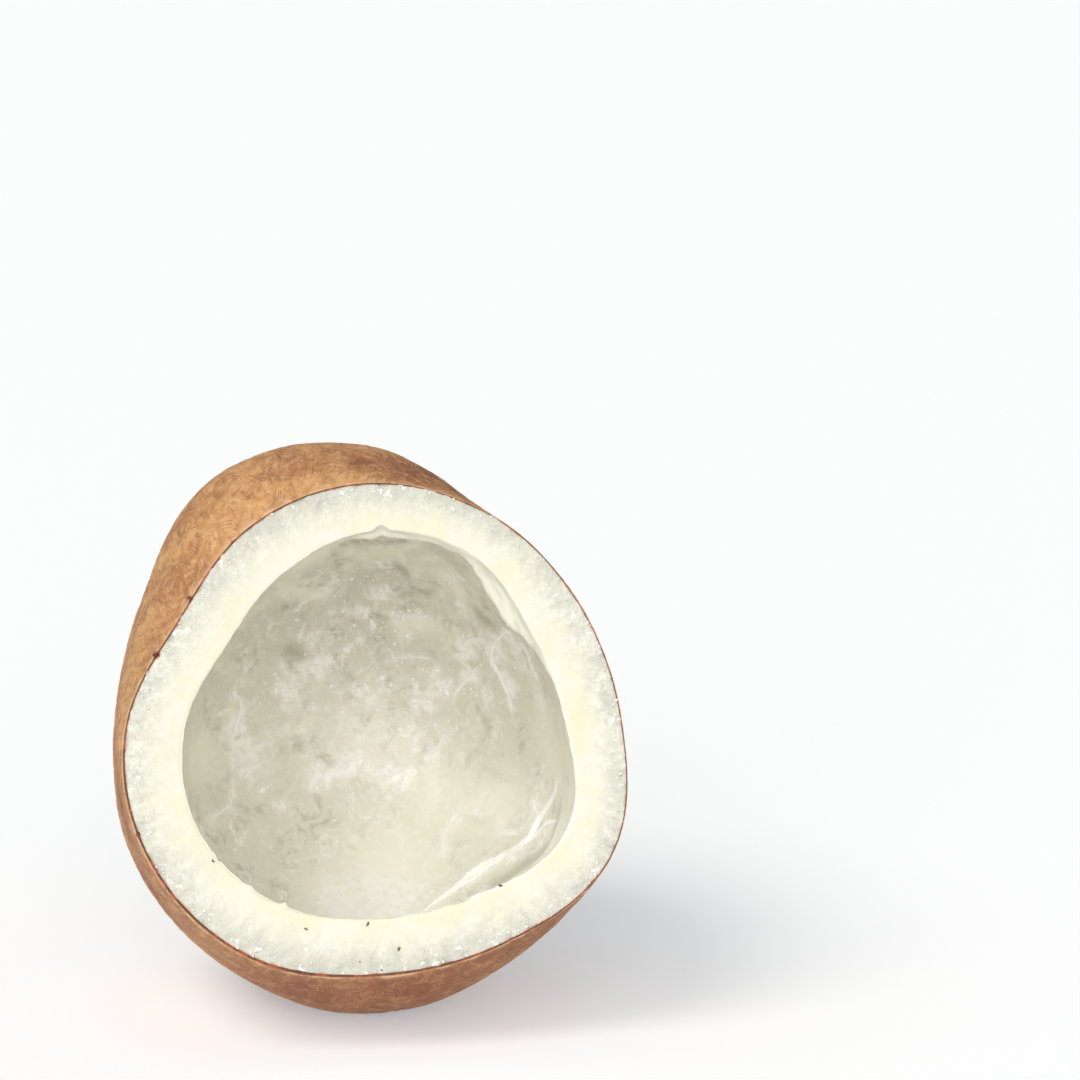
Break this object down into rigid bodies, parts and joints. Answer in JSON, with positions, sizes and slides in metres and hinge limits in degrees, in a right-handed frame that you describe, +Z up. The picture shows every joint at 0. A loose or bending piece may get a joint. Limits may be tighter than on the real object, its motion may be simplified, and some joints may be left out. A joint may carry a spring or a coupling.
{
  "type": "coconut kernel, cut open",
  "caption": "Peeled mature coconut kernel with a slice sawn off: thin brown skin on thick white flesh round an open hollow.",
  "frame": {"origin": "middle of the small flat spot underneath that the kernel rests on", "axes": "+Z up; the cut face looks along -Y, turned 6 degrees towards +X and tilted up 10 degrees; +X is to the right as seen from the front"},
  "size_m": [0.106, 0.0958, 0.1181],
  "materials": {
    "brown_skin": "matte, finely fibrous tan to reddish brown seed skin with shallow wrinkles",
    "white_flesh": "moist white to ivory coconut flesh, slightly translucent, smooth and grey-green inside the hollow"
  },
  "bodies": {
    "root": {"brown_skin": "brown_skin", "white_flesh": "white_flesh"}
  },
  "joints": []
}
